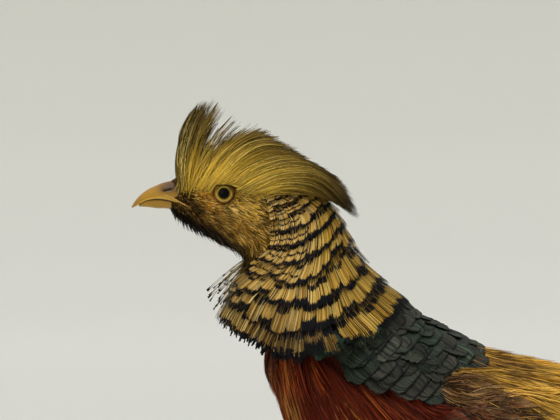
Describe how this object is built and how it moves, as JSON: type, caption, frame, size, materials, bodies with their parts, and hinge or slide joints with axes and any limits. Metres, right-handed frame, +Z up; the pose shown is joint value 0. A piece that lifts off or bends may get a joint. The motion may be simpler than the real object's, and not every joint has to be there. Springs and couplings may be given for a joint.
{
  "type": "taxidermy golden pheasant on a wooden base",
  "caption": "Life-size mounted cock golden pheasant, standing with head held forward, raised crest, barred cape and long tail, on a plain wooden base.",
  "frame": {"origin": "centre of the wooden base's flat underside", "axes": "+Z up, -Y the way the bird looks, +X the bird's left side"},
  "size_m": [0.18, 0.9574, 0.3422],
  "materials": {
    "crest_feathers": "silky golden-olive feather strands",
    "face_feathers": "short rusty tan feathers",
    "cape_feathers": "golden tan feather vanes barred with blue-black",
    "mantle_feathers": "dark green scale-like feathers edged with black",
    "back_feathers": "loose golden feather strands",
    "breast_feathers": "hair-like mahogany red feathers with gold streaks",
    "wing_feathers": "brown and maroon mottled flight feathers and coverts",
    "tail_feathers": "black feathers netted and spotted with cinnamon buff",
    "plume_feathers": "narrow orange-red feathers",
    "bill_horn": "ochre horn, satin",
    "glass_eye": "painted glass eye, clear and glossy",
    "leg_scales": "dry yellowish scaled skin with grey-brown claws",
    "base_wood": "dark stained and waxed wood"
  },
  "bodies": {
    "root": {"head": "face_feathers", "crest": "crest_feathers", "bill_upper": "bill_horn", "bill_lower": "bill_horn", "eye_left": "glass_eye", "eye_right": "glass_eye", "neck": "cape_feathers", "cape": "cape_feathers", "mantle": "mantle_feathers", "back_and_rump": "back_feathers", "breast": "breast_feathers", "belly": "breast_feathers", "scapulars_left": "wing_feathers", "scapulars_right": "wing_feathers", "wing_left": "wing_feathers", "wing_right": "wing_feathers", "thigh_left": "breast_feathers", "thigh_right": "breast_feathers", "tarsus_left": "leg_scales", "tarsus_right": "leg_scales", "foot_left": "leg_scales", "foot_right": "leg_scales", "tail_central_left": "tail_feathers", "tail_central_right": "tail_feathers", "tail_middle_left": "tail_feathers", "tail_middle_right": "tail_feathers", "tail_outer_left": "tail_feathers", "tail_outer_right": "tail_feathers", "tail_coverts_upper": "back_feathers", "tail_coverts_under": "breast_feathers", "plume_left_1": "plume_feathers", "plume_left_2": "plume_feathers", "plume_right_1": "plume_feathers", "plume_right_2": "plume_feathers", "stand_base": "base_wood"}
  },
  "joints": []
}
